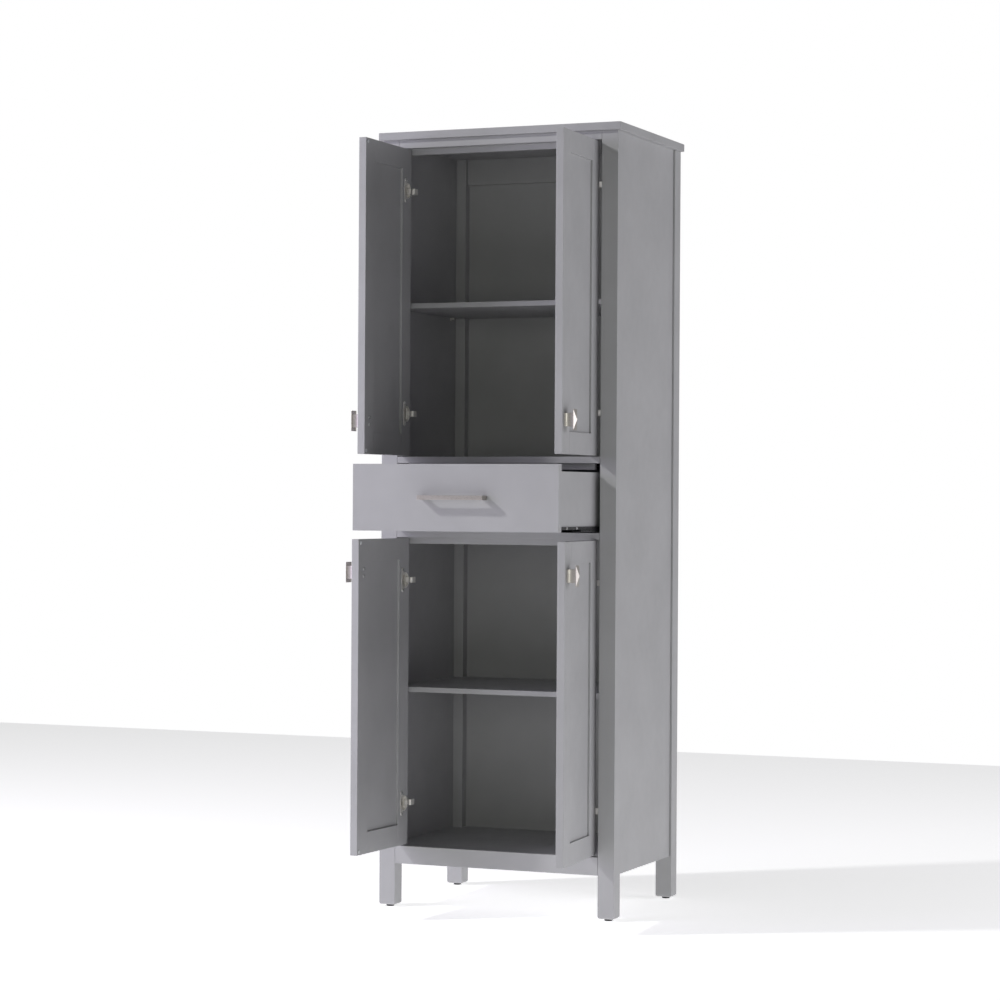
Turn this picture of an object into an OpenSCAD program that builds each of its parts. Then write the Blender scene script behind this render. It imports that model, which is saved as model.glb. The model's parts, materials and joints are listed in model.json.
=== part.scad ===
// Tall pantry cabinet on four square corner posts.
// Two pairs of inset framed doors on concealed cup hinges stand above and below one drawer
// on runners. The doors and the drawer are drawn open, as the cabinet stands in use.
// X runs across the front, the front faces -Y, Z is up and the floor is at zero.

/* [Overall size] */
// Width of the top
top_w = 610; // [580:1:680]
// Depth of the top
top_d = 445; // [425:1:500]
// Height from the floor to the face of the top
total_h = 1829; // [1790:1:1880]
// Thickness of the top
top_t = 18; // [15:1:22]
// How far the top stands out past the posts at the front and the sides
overhang = 9; // [4:1:14]

/* [Frame] */
// Side of each square corner post
post = 40; // [38:1:46]
// Rounding of each post's foot
foot_r = 5; // [3:1:7]
// Height of the bottom rail's underside above the floor
rail_z = 104; // [90:1:130]
// Height of the bottom rail
bottom_rail_h = 42; // [36:1:60]
// Height of the top rail
top_rail_h = 20; // [16:1:30]
// Depth of the front rails, front to back
rail_d = 20; // [19:1:24]
// Thickness of the two dividers, their rails and the floor
divider_t = 15; // [12:1:18]
// Height of the opening for the lower doors
lower_space = 728; // [700:1:740]
// Height of the opening for the drawer
drawer_space = 160; // [150:1:175]

/* [Panels] */
// Thickness of the side panels
side_t = 9; // [8:1:10]
// How far the side panels lie behind the posts' outer faces
side_recess = 5; // [3:1:7]
// Thickness of the back panel
back_t = 6; // [4:1:8]
// Distance from the back panel to the posts' back faces
back_recess = 9; // [6:1:12]
// Thickness of the shelves
shelf_t = 12; // [10:1:18]
// Height of the lower shelf's underside
lower_shelf_z = 508; // [300:1:650]
// Height of the upper shelf's underside
upper_shelf_z = 1415; // [1250:1:1500]

/* [Doors] */
// Thickness of the doors
door_t = 18; // [18:1:19]
// Width of the stiles and rails that frame each door
stile_w = 50; // [48:1:60]
// Depth of the field inside the door's frame, on both faces
field_recess = 4.5; // [3:0.5:5]
// Gap at each door's hinge edge, and half the gap between two doors
door_gap = 2; // [2:0.5:3]
// Opening angle drawn for the upper left door
upper_left_open = 89.5; // [0:0.5:105]
// Opening angle drawn for the upper right door
upper_right_open = 92.5; // [0:0.5:105]
// Opening angle drawn for the lower left door
lower_left_open = 92.5; // [0:0.5:105]
// Opening angle drawn for the lower right door
lower_right_open = 94.5; // [0:0.5:105]
// Distance from a door's end to the middle of the hinge
hinge_inset = 98.5; // [90:0.5:120]
// Distance from a door's end to the middle of its knob
knob_inset = 76; // [60:1:100]

/* [Drawer] */
// How far the drawer is drawn out
pull_out = 247; // [0:1:350]
// Length of the drawer box behind its front
box_d = 350; // [340:1:356]
// Height of the drawer box's sides
box_h = 124; // [100:1:126]
// Length of the pull
pull_w = 160; // [120:1:200]
// How far the pull stands out
pull_reach = 28; // [24:1:34]

/* [Hidden] */
$fn = 48;

paint = "gainsboro";
steel = "silver";

// Frame, measured from the posts' front faces (y) and the floor (z)
body_w = top_w - 2 * overhang;
body_d = top_d - overhang;
opening_w = body_w - 2 * post;
foot_z = 5;
top_z = total_h - top_t;
floor_z = rail_z + bottom_rail_h;
lower_top_z = floor_z + lower_space;
drawer_z = lower_top_z + divider_t;
drawer_top_z = drawer_z + drawer_space;
upper_z = drawer_top_z + divider_t;
upper_top_z = top_z - top_rail_h;
back_y = body_d - back_recess - back_t;
wall_x = body_w / 2 - side_recess - side_t;
tongue = 8;
stop_d = 12;
stop_h = 15;
stop_end = 20;
top_stop_h = 34;
back_rail_d = 12;
back_top_rail_h = 63;

// The origin lies midway between the cabinet's back and the drawer pull's face
front_y = (pull_out + pull_reach - body_d) / 2;

// Glides and shelf pins
glide_r = 9.5;
glide_face_r = 8;
glide_bore_r = 2.5;
glide_stem_r = 2.45;
glide_stem_l = 15;
shelf_gap = 1.5;
shelf_front_y = 23.5;
pin_r = 2.5;
pin_in = 6;
pin_out = 10;
pin_collar_r = 4.5;
pin_collar_t = 1.2;
pin_setback = 30;

// Doors, measured from the inner face of the post that carries them
door_w = opening_w / 2 - 2 * door_gap;
upper_door_gap = 2.5;
lower_door_gap = 2;
lower_door_lift = 4;
upper_door_h = upper_top_z - upper_z - 2 * upper_door_gap;
lower_door_h = lower_space - lower_door_gap - lower_door_lift;
pivot_x = 11.4;
pivot_y = 1.9;

// Each door: side (-1 left, 1 right), height of its bottom edge, its height, opening angle,
// and the height of its knob above that edge
upper_left = [-1, upper_z + upper_door_gap, upper_door_h, upper_left_open, knob_inset];
upper_right = [1, upper_z + upper_door_gap, upper_door_h, upper_right_open, knob_inset];
lower_left = [-1, floor_z + lower_door_lift, lower_door_h, lower_left_open,
    lower_door_h - knob_inset];
lower_right = [1, floor_z + lower_door_lift, lower_door_h, lower_right_open,
    lower_door_h - knob_inset];
hinge_zs = [
    for (door = [upper_left, lower_left], z = [hinge_inset, door[2] - hinge_inset]) door[1] + z
];

// Cup hinges
cup_x = door_gap + 21.5;
cup_r = 17.5;
cup_hollow_r = 16;
cup_depth = 11.7;
cup_floor_t = 0.9;
flange_t = 1.2;
flange_r = 18.5;
ear_x = cup_x + 11.5;
ear_w = 12;
ear_h = 57;
ear_hole_z = 24;
cup_pin_r = 1.5;
cup_pin_bite = 0.6;
cup_pin_x = cup_x - 11.5;
cup_pin_y = door_t - 5;
link_t = 1.5;
link_h = 13;
link_x0 = cup_x - 14;
link_x1 = cup_x - 3.5;
link_low_y = cup_pin_y - cup_pin_r - 0.6;
link_top_y = door_t + 1.8;
arm_h = 13.4;
arm_wall = 1.6;
plate_t = 2.2;
plate_y = 22;
plate_d = 17;
plate_h = 50;
plate_screw_z = 19;
small_screw_r = 1.8;
small_head_r = 3.5;
small_head_t = 1;
small_screw_l = 12;

// Knobs and pull
knob_x = door_gap + door_w - stile_w / 2;
knob_stem_h = 30;
knob_foot_w = 25;
knob_neck_w = 19.6;
knob_flare = 0.8;
knob_neck_y = 10.5;
knob_head_w = 26;
knob_head_h = 47;
knob_head_y = 20.5;
knob_rim = 1.2;
knob_peak = 4.8;
knob_hollow = 0.8;
knob_hollow_rim = 2;
knob_screw_z = 8;
screw_r = 2;
screw_head_r = 4;
screw_head_t = 2;
screw_bite = 9;
pull_bar = 7;
pull_h = 10;
pull_leg = 10;

// Drawer
front_t = 18;
front_side_gap = 4;
front_low_gap = 3;
front_top_gap = 5;
box_t = 12;
box_side_x = opening_w / 2 - 11;
box_z = drawer_z + 15;
bottom_t = 6;
bottom_lift = 8;
bottom_tongue = 6;

// Runners: height above the divider, and the drawer's and the middle members' travel
runner_y = 24;
runner_l = 344;
runner_base = 1.6;
runner_base_w = 30;
runner_x = opening_w / 2 - 2;
runner_flange_h = 12;
middle_x = opening_w / 2 - 27;
middle_w = 20;
middle_lift = 3.2;
middle_h = 4.8;
runner_wall = 1.4;
member_x = opening_w / 2 - 30;
member_w = 22;
member_lift = 8.6;
runner_screw_ys = [60, 190, 330];
catch_ys = [40, 102];
catch_l = 5;
catch_t = 1.6;

// ---------- placing ----------

// Frame coordinates, from the posts' front faces
module in_frame() {
    translate([0, front_y, 0])
        children();
}

// The same shape at both sides of the cabinet
module both_sides() {
    for (flip = [0, 1])
        mirror([flip, 0, 0])
            children();
}

// From the inner face of the post on one side, x growing into the opening
module from_post(side) {
    mirror([side > 0 ? 1 : 0, 0, 0])
        translate([-opening_w / 2, 0, 0])
            children();
}

// A door's own space, turned open about the line its hinges swing on
module on_door(door) {
    in_frame()
        from_post(door[0])
            translate([pivot_x, pivot_y, door[1]])
                rotate([0, 0, -door[3]])
                    translate([-pivot_x, -pivot_y, 0])
                        children();
}

// The drawer's own space, drawn out by its travel
module on_drawer(travel = pull_out) {
    translate([0, front_y - travel, 0])
        children();
}

// A board centred across the cabinet
module board(width, y0, y1, z0, z1) {
    translate([-width / 2, y0, z0])
        cube([width, y1 - y0, z1 - z0]);
}

// A round bar along Y, from y0 to y1
module bar_y(r, y0, y1) {
    translate([0, y1, 0])
        rotate([90, 0, 0])
            cylinder(r = r, h = y1 - y0);
}

// A board that fills the plan inside the four posts, cut back round them by a gap
module notched_board(y0, y1, z0, t, gap) {
    union() {
        board(opening_w - 2 * gap, y0, y1, z0, z0 + t);
        board(2 * (wall_x - (gap > 0 ? gap : 0)), post + gap, body_d - post - gap, z0, z0 + t);
    }
}

// ---------- frame ----------

module top_panel() {
    color(paint)
        in_frame()
            board(top_w, -overhang, body_d, top_z, total_h);
}

// A post's outline seen from one side, with both bottom corners rounded
module post_outline() {
    translate([foot_r, 0])
        square([post - 2 * foot_r, foot_r]);
    translate([0, foot_r])
        square([post, top_z - foot_z - foot_r]);
    for (x = [foot_r, post - foot_r])
        translate([x, foot_r])
            circle(r = foot_r);
}

module post_blank() {
    intersection() {
        translate([0, post, 0])
            rotate([90, 0, 0])
                linear_extrude(post)
                    post_outline();
        rotate([90, 0, 90])
            linear_extrude(post)
                post_outline();
    }
}

module side_panel_blank() {
    translate([-wall_x - side_t, post - tongue, rail_z])
        cube([side_t, body_d - 2 * post + 2 * tongue, top_z - rail_z]);
}

module back_panel_blank() {
    board(opening_w + 2 * tongue, back_y, back_y + back_t, rail_z, top_z);
}

// One post, grooved for the panels and bored for its glide; y0 is its front face
module corner_post(side, y0) {
    color(paint)
        in_frame()
            mirror([side > 0 ? 1 : 0, 0, 0])
                difference() {
                    translate([-body_w / 2, y0, foot_z])
                        post_blank();
                    side_panel_blank();
                    back_panel_blank();
                    translate([-body_w / 2 + post / 2, y0 + post / 2, foot_z])
                        cylinder(r = glide_bore_r, h = glide_stem_l);
                }
}

// Places of the pins under one shelf: y along the side, z at the pin's axis
pin_ys = [post + pin_setback, body_d - post - pin_setback];
pin_zs = [lower_shelf_z - pin_r, upper_shelf_z - pin_r];

module side_panel(side) {
    color(paint)
        in_frame()
            mirror([side > 0 ? 1 : 0, 0, 0])
                difference() {
                    side_panel_blank();
                    for (y = pin_ys, z = pin_zs)
                        translate([-wall_x - pin_in, y, z])
                            rotate([0, 90, 0])
                                cylinder(r = pin_r, h = pin_in);
                }
}

module back_panel() {
    color("darkgray")
        in_frame()
            back_panel_blank();
}

module back_rail(z0, z1) {
    color(paint)
        in_frame()
            board(opening_w, back_y - back_rail_d, back_y, z0, z1);
}

module front_rail(z0, z1) {
    color(paint)
        in_frame()
            board(opening_w, 0, rail_d, z0, z1);
}

module upper_divider() {
    color(paint)
        in_frame()
            notched_board(rail_d, back_y, drawer_top_z, divider_t, 0);
}

module lower_divider() {
    color(paint)
        in_frame()
            difference() {
                notched_board(rail_d, back_y, lower_top_z, divider_t, 0);
                runner_screw_holes(drawer_z);
            }
}

module floor_panel() {
    color(paint)
        in_frame()
            notched_board(rail_d, back_y, floor_z - divider_t, divider_t, 0);
}

// Strips behind the rails that the closed doors and the drawer front meet, cut short at
// both ends to let the doors' hinge edges turn
module stop(z_top, h) {
    color(paint)
        in_frame()
            board(opening_w - 2 * stop_end, rail_d, rail_d + stop_d, z_top - h, z_top);
}

module shelf(z0) {
    color(paint)
        in_frame()
            notched_board(shelf_front_y, back_y - 1, z0, shelf_t, shelf_gap);
}

module shelf_pins() {
    color(steel)
        in_frame()
            both_sides()
                for (y = pin_ys, z = pin_zs)
                    translate([-wall_x, y, z])
                        rotate([0, 90, 0]) {
                            translate([0, 0, -pin_in])
                                cylinder(r = pin_r, h = pin_in + pin_out);
                            cylinder(r = pin_collar_r, h = pin_collar_t);
                        }
}

module foot_glides() {
    color("black")
        in_frame()
            both_sides()
                for (y = [post / 2, body_d - post / 2])
                    translate([-body_w / 2 + post / 2, y, 0])
                        rotate_extrude()
                            polygon([
                                [0, 0], [glide_face_r, 0], [glide_r, glide_r - glide_face_r],
                                [glide_r, foot_z], [glide_stem_r, foot_z],
                                [glide_stem_r, foot_z + glide_stem_l], [0, foot_z + glide_stem_l]
                            ]);
}

// ---------- hinges ----------

// At every hinge on both sides, measured from the post's inner face
module at_hinges() {
    in_frame()
        for (side = [-1, 1])
            from_post(side)
                for (z = hinge_zs)
                    translate([0, 0, z])
                        children();
}

// Plan of the cranked arm: along the post, across behind the door, and into the cup's mouth
module arm_outline() {
    polygon([
        [plate_t, 23], [29.5, 23], [29.5, 15.5], [31, 12.5], [31, 9.4], [31.6, 8.8],
        [36.2, 8.8], [37, 9.6], [37, 27.5], [34.5, 30], [12, 30], [9, 33], [9, 54], [plate_t, 54]
    ]);
}

module arm_hollow() {
    polygon([
        [plate_t - 1, 24.6], [35.4, 24.6], [35.4, 26.8], [33.8, 28.4], [11.3, 28.4],
        [7.4, 32.3], [7.4, 56], [plate_t - 1, 56]
    ]);
}

module hinge_arms() {
    color(steel)
        at_hinges()
            difference() {
                translate([0, 0, -arm_h / 2])
                    linear_extrude(arm_h)
                        arm_outline();
                translate([0, 0, arm_wall - arm_h / 2])
                    linear_extrude(arm_h - 2 * arm_wall)
                        arm_hollow();
            }
}

module hinge_plates() {
    color(steel)
        at_hinges()
            difference() {
                translate([0, plate_y, -plate_h / 2])
                    cube([plate_t, plate_d, plate_h]);
                for (z = [-plate_screw_z, plate_screw_z])
                    translate([0, plate_y + plate_d / 2, z])
                        rotate([0, 90, 0])
                            cylinder(r = small_screw_r, h = plate_t);
            }
}

module hinge_plate_screws() {
    color(steel)
        at_hinges()
            for (z = [-plate_screw_z, plate_screw_z])
                translate([0, plate_y + plate_d / 2, z])
                    rotate([0, 90, 0]) {
                        cylinder(r = small_screw_r, h = plate_t);
                        translate([0, 0, plate_t])
                            cylinder(r = small_head_r, h = small_head_t);
                    }
}

// ---------- doors ----------

module at_cups(door) {
    for (z = [hinge_inset, door[2] - hinge_inset])
        translate([0, 0, z])
            children();
}

module at_ear_screws() {
    for (z = [-ear_hole_z, ear_hole_z])
        translate([ear_x, 0, z])
            children();
}

module at_knob_screws(door) {
    for (z = [-knob_screw_z, knob_screw_z])
        translate([knob_x, 0, door[4] + z])
            children();
}

module door_panel_blank(door) {
    translate([door_gap + stile_w - tongue, field_recess, stile_w - tongue])
        cube([
            door_w - 2 * stile_w + 2 * tongue, door_t - 2 * field_recess,
            door[2] - 2 * stile_w + 2 * tongue
        ]);
}

// Two stiles and two rails, grooved for the panel and bored for hinges and screws
module door_frame(door) {
    color(paint)
        on_door(door)
            difference() {
                union() {
                    for (x = [door_gap, door_gap + door_w - stile_w])
                        translate([x, 0, 0])
                            cube([stile_w, door_t, door[2]]);
                    for (z = [0, door[2] - stile_w])
                        translate([door_gap + stile_w, 0, z])
                            cube([door_w - 2 * stile_w, door_t, stile_w]);
                }
                door_panel_blank(door);
                at_cups(door) {
                    translate([cup_x, 0, 0])
                        bar_y(cup_r, door_t - cup_depth, door_t);
                    at_ear_screws()
                        bar_y(small_screw_r, door_t - small_screw_l, door_t);
                }
                at_knob_screws(door)
                    bar_y(screw_r, 0, door_t);
            }
}

module door_panel(door) {
    color(paint)
        on_door(door)
            door_panel_blank(door);
}

// A flanged steel cup let into the door, with the pin and the link in its mouth
module hinge_cups(door) {
    color(steel)
        on_door(door)
            at_cups(door) {
                difference() {
                    union() {
                        translate([cup_x, 0, 0])
                            bar_y(cup_r, door_t - cup_depth, door_t);
                        translate([cup_x, 0, 0])
                            bar_y(flange_r, door_t, door_t + flange_t);
                        translate([ear_x - ear_w / 2, door_t, -ear_h / 2])
                            cube([ear_w, flange_t, ear_h]);
                    }
                    translate([cup_x, 0, 0])
                        bar_y(cup_hollow_r, door_t - cup_depth + cup_floor_t, door_t + flange_t);
                    at_ear_screws()
                        bar_y(small_screw_r, door_t, door_t + flange_t);
                }
                cup_links();
            }
}

// Pin across the cup near the door's edge, with a link folded from one sheet on it: two walls
// and a back across the cup's mouth
module cup_links() {
    pin_half = sqrt(pow(cup_hollow_r, 2) - pow(cup_x - cup_pin_x, 2)) + cup_pin_bite;
    link_w = link_x1 - link_x0;
    inner_y = link_top_y - link_t;
    translate([cup_pin_x, cup_pin_y, -pin_half])
        cylinder(r = cup_pin_r, h = 2 * pin_half);
    difference() {
        translate([link_x0, link_low_y, -link_h / 2])
            cube([link_w, link_top_y - link_low_y, link_h]);
        translate([link_x0 - 1, link_low_y - 1, link_t - link_h / 2])
            cube([link_w + 2, inner_y - link_low_y + 1, link_h - 2 * link_t]);
    }
}

// Plan of the stem: a foot on the door, a waist and a shoulder under the head
module knob_stem_outline() {
    half_foot = knob_foot_w / 2;
    half_neck = knob_neck_w / 2;
    half_end = half_neck + knob_flare;
    polygon([
        [-half_foot, 0], [-half_end, -3], [-half_neck, -knob_neck_y], [-half_end, -knob_head_y],
        [half_end, -knob_head_y], [half_neck, -knob_neck_y], [half_end, -3], [half_foot, 0]
    ]);
}

// Outline of the head across one of its sides: a rim that rises to a low peak
module knob_head_outline(size) {
    polygon([
        [-size / 2, -knob_head_y], [-size / 2, -knob_head_y - knob_rim],
        [0, -knob_head_y - knob_rim - knob_peak],
        [size / 2, -knob_head_y - knob_rim], [size / 2, -knob_head_y]
    ]);
}

module knob(door) {
    hollow_w = knob_head_w - 2 * knob_hollow_rim;
    hollow_h = knob_head_h - 2 * knob_hollow_rim;
    color(steel)
        on_door(door)
            translate([knob_x, 0, door[4]])
                difference() {
                    union() {
                        translate([0, 0, -knob_stem_h / 2])
                            linear_extrude(knob_stem_h)
                                knob_stem_outline();
                        difference() {
                            intersection() {
                                translate([0, 0, -knob_head_h / 2])
                                    linear_extrude(knob_head_h)
                                        knob_head_outline(knob_head_w);
                                translate([-knob_head_w / 2, 0, 0])
                                    rotate([90, 0, 90])
                                        linear_extrude(knob_head_w)
                                            rotate(-90)
                                                knob_head_outline(knob_head_h);
                            }
                            translate([-hollow_w / 2, -knob_head_y - knob_hollow, -hollow_h / 2])
                                cube([hollow_w, knob_hollow, hollow_h]);
                        }
                        translate([
                            -knob_neck_w / 2 - knob_flare, -knob_head_y - knob_hollow,
                            -knob_stem_h / 2
                        ])
                            cube([knob_neck_w + 2 * knob_flare, knob_hollow, knob_stem_h]);
                    }
                    for (z = [-knob_screw_z, knob_screw_z])
                        translate([0, 0, z])
                            bar_y(screw_r, -screw_bite, 0);
                }
}

// The knob's two screws and the four screws of the hinge cups
module door_screws(door) {
    color(steel)
        on_door(door) {
            at_knob_screws(door) {
                bar_y(screw_r, -screw_bite, door_t);
                bar_y(screw_head_r, door_t, door_t + screw_head_t);
            }
            at_cups(door)
                at_ear_screws() {
                    bar_y(small_screw_r, door_t - small_screw_l, door_t + flange_t);
                    bar_y(small_head_r, door_t + flange_t, door_t + flange_t + small_head_t);
                }
        }
}

// ---------- drawer ----------

pull_z = drawer_z + (drawer_space + front_low_gap - front_top_gap) / 2;
pull_screw_x = (pull_w - pull_leg) / 2;

module at_pull_screws() {
    for (x = [-pull_screw_x, pull_screw_x])
        translate([x, 0, pull_z])
            children();
}

module drawer_bottom_blank() {
    board(
        2 * (box_side_x - box_t + bottom_tongue), front_t + box_t - bottom_tongue,
        front_t + box_d - box_t + bottom_tongue, box_z + bottom_lift, box_z + bottom_lift + bottom_t
    );
}

module drawer_front() {
    color(paint)
        on_drawer()
            difference() {
                board(
                    opening_w - 2 * front_side_gap, 0, front_t,
                    drawer_z + front_low_gap, drawer_top_z - front_top_gap
                );
                at_pull_screws()
                    bar_y(screw_r, 0, front_t);
            }
}

module drawer_sides() {
    color(paint)
        on_drawer()
            difference() {
                both_sides()
                    translate([box_side_x - box_t, front_t, box_z])
                        cube([box_t, box_d, box_h]);
                drawer_bottom_blank();
            }
}

module drawer_end(y0) {
    color(paint)
        on_drawer()
            difference() {
                board(2 * (box_side_x - box_t), y0, y0 + box_t, box_z, box_z + box_h);
                drawer_bottom_blank();
                at_pull_screws()
                    bar_y(screw_r, front_t, front_t + box_t);
            }
}

module drawer_bottom() {
    color(paint)
        on_drawer()
            drawer_bottom_blank();
}

module drawer_pull() {
    color(steel)
        on_drawer()
            difference() {
                translate([0, 0, pull_z - pull_h / 2])
                    linear_extrude(pull_h)
                        difference() {
                            translate([-pull_w / 2, -pull_reach])
                                square([pull_w, pull_reach]);
                            translate([pull_leg - pull_w / 2, pull_bar - pull_reach])
                                square([pull_w - 2 * pull_leg, pull_reach]);
                        }
                at_pull_screws()
                    bar_y(screw_r, -screw_bite, 0);
            }
}

module pull_screws() {
    color(steel)
        on_drawer()
            at_pull_screws() {
                bar_y(screw_r, -screw_bite, front_t + box_t);
                bar_y(screw_head_r, front_t + box_t, front_t + box_t + screw_head_t);
            }
}

// ---------- runners ----------

// A steel channel of one section along Y, at both sides
module runner_member(y0) {
    both_sides()
        translate([0, y0 + runner_l, 0])
            rotate([90, 0, 0])
                linear_extrude(runner_l)
                    children();
}

module runner_cabinet_members() {
    color("dimgray")
        in_frame()
            difference() {
                runner_member(runner_y) {
                    translate([runner_x - runner_base_w, drawer_z])
                        square([runner_base_w, runner_base]);
                    translate([runner_x - runner_base, drawer_z])
                        square([runner_base, runner_flange_h]);
                }
                runner_screw_holes(drawer_z + runner_base);
            }
}

// Holes that go down from z_top through the runner's base and into the divider
module runner_screw_holes(z_top) {
    both_sides()
        for (y = runner_screw_ys)
            translate([runner_x - runner_base_w / 2, y, z_top - small_screw_l])
                cylinder(r = small_screw_r, h = small_screw_l);
}

module runner_screws() {
    color(steel)
        in_frame()
            both_sides()
                for (y = runner_screw_ys)
                    translate([runner_x - runner_base_w / 2, y, drawer_z + runner_base]) {
                        translate([0, 0, -small_screw_l])
                            cylinder(r = small_screw_r, h = small_screw_l);
                        cylinder(r = small_head_r, h = small_head_t);
                    }
}

// The middle members travel half as far as the drawer
module runner_middle_members() {
    z0 = drawer_z + middle_lift;
    color("dimgray")
        on_drawer(pull_out / 2)
            runner_member(runner_y)
                difference() {
                    translate([middle_x, z0])
                        square([middle_w, middle_h]);
                    translate([middle_x + runner_wall, z0 + runner_wall])
                        square([middle_w - 2 * runner_wall, middle_h]);
                }
}

module runner_drawer_members() {
    z0 = drawer_z + member_lift;
    color("dimgray")
        on_drawer()
            runner_member(runner_y)
                difference() {
                    translate([member_x, z0])
                        square([member_w, box_z - z0]);
                    translate([member_x + runner_wall, z0 - runner_wall])
                        square([member_w - 2 * runner_wall, box_z - z0]);
                }
}

module runner_catches() {
    z0 = drawer_z + member_lift;
    color(steel)
        on_drawer()
            both_sides()
                for (y = catch_ys)
                    translate([member_x + member_w, front_t + y, z0])
                        cube([catch_t, catch_l, box_z - z0]);
}

top_panel();
corner_post(-1, 0);  // front_left_post
corner_post(1, 0);  // front_right_post
corner_post(-1, body_d - post);  // back_left_post
corner_post(1, body_d - post);  // back_right_post
side_panel(-1);  // left_side_panel
side_panel(1);  // right_side_panel
back_panel();
back_rail(top_z - back_top_rail_h, top_z);  // back_top_rail
back_rail(rail_z, floor_z - divider_t);  // back_bottom_rail
front_rail(upper_top_z, top_z);  // top_rail
front_rail(drawer_top_z, upper_z);  // upper_divider_rail
front_rail(lower_top_z, drawer_z);  // lower_divider_rail
front_rail(rail_z, floor_z);  // bottom_rail
upper_divider();
lower_divider();
floor_panel();
stop(top_z, top_stop_h);  // top_stop
union() {  // divider_stops
    stop(drawer_top_z, stop_h);
    stop(lower_top_z, stop_h);
}
shelf(upper_shelf_z);  // upper_shelf
shelf(lower_shelf_z);  // lower_shelf
shelf_pins();
foot_glides();
hinge_arms();
hinge_plates();
hinge_plate_screws();
door_frame(upper_left);  // upper_left_door_frame
door_panel(upper_left);  // upper_left_door_panel
knob(upper_left);  // upper_left_knob
hinge_cups(upper_left);  // upper_left_hinge_cups
door_screws(upper_left);  // upper_left_screws
door_frame(upper_right);  // upper_right_door_frame
door_panel(upper_right);  // upper_right_door_panel
knob(upper_right);  // upper_right_knob
hinge_cups(upper_right);  // upper_right_hinge_cups
door_screws(upper_right);  // upper_right_screws
door_frame(lower_left);  // lower_left_door_frame
door_panel(lower_left);  // lower_left_door_panel
knob(lower_left);  // lower_left_knob
hinge_cups(lower_left);  // lower_left_hinge_cups
door_screws(lower_left);  // lower_left_screws
door_frame(lower_right);  // lower_right_door_frame
door_panel(lower_right);  // lower_right_door_panel
knob(lower_right);  // lower_right_knob
hinge_cups(lower_right);  // lower_right_hinge_cups
door_screws(lower_right);  // lower_right_screws
drawer_front();
drawer_sides();
drawer_end(front_t);  // drawer_box_front
drawer_end(front_t + box_d - box_t);  // drawer_back
drawer_bottom();
drawer_pull();
pull_screws();
runner_drawer_members();
runner_catches();
runner_middle_members();
runner_cabinet_members();
runner_screws();
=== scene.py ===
import json
import math

import bmesh
import bpy
from mathutils import Matrix, Vector


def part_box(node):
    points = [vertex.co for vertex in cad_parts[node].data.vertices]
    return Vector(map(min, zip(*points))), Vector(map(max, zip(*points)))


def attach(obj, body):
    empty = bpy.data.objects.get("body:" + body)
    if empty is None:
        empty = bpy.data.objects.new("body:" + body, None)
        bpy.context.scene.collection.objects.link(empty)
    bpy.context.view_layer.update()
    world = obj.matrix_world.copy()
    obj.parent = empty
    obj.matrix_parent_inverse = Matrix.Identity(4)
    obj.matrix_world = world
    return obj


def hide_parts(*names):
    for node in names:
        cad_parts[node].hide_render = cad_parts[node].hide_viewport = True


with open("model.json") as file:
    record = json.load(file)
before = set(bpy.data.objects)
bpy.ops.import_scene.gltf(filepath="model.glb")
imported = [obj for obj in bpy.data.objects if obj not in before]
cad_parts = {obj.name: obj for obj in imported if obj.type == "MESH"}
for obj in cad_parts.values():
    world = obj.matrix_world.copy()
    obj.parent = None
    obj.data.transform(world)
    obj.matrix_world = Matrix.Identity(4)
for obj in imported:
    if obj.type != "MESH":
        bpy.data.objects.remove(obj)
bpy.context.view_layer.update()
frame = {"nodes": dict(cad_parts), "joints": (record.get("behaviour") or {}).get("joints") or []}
mm = 0.001
print("frame loaded:", len(frame["nodes"]), "nodes")

# Places that everything hangs on, read from the frame
postLow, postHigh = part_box("front_left_post")
frontY = postLow.y  # the plane of the posts' front faces
innerX = -postHigh.x  # half the width between the front posts
joints = {joint["name"]: joint for joint in frame["joints"]}


def clearPicks():
    if bpy.context.mode != "OBJECT":
        bpy.ops.object.mode_set(mode="OBJECT")
    bpy.ops.object.select_all(action="DESELECT")


def pickOnly(*pieces):
    clearPicks()
    for piece in pieces:
        piece.select_set(True)
    bpy.context.view_layer.objects.active = pieces[0]


def settle(piece):
    pickOnly(piece)
    bpy.ops.object.transform_apply(location=True, rotation=True, scale=True)
    return piece


def addBlock(name, low, high):
    clearPicks()
    bpy.ops.mesh.primitive_cube_add(size=1, location=[(a + b) / 2 for a, b in zip(low, high)])
    piece = bpy.context.object
    piece.name = name
    piece.scale = [b - a for a, b in zip(low, high)]
    return settle(piece)


def addRound(name, radius, start, end, sides=32, capRadius=None):
    # A round bar or cone between two points
    start, end = Vector(start), Vector(end)
    clearPicks()
    turn = (end - start).to_track_quat("Z", "Y").to_euler()
    bpy.ops.mesh.primitive_cone_add(
        vertices=sides, radius1=radius, radius2=radius if capRadius is None else capRadius,
        depth=(end - start).length, location=(start + end) / 2, rotation=turn)
    piece = bpy.context.object
    piece.name = name
    return settle(piece)


def startEdit(piece, mode="FACE"):
    pickOnly(piece)
    bpy.ops.object.mode_set(mode="EDIT")
    bpy.ops.mesh.select_mode(type=mode)
    bpy.ops.mesh.select_all(action="DESELECT")


def endEdit():
    bpy.ops.object.mode_set(mode="OBJECT")


def pickFaces(piece, test):
    bpy.ops.mesh.select_all(action="DESELECT")
    shape = bmesh.from_edit_mesh(piece.data)
    for face in shape.faces:
        face.select_set(test(face.calc_center_median(), face.normal))
    bmesh.update_edit_mesh(piece.data)


def pickEdges(piece, test):
    bpy.ops.mesh.select_all(action="DESELECT")
    shape = bmesh.from_edit_mesh(piece.data)
    for edge in shape.edges:
        a, b = (v.co for v in edge.verts)
        edge.select_set(test((a + b) / 2, (b - a).normalized()))
    bmesh.update_edit_mesh(piece.data)


def pushFaces(move):
    bpy.ops.mesh.extrude_region_move(TRANSFORM_OT_translate={"value": move})


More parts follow.
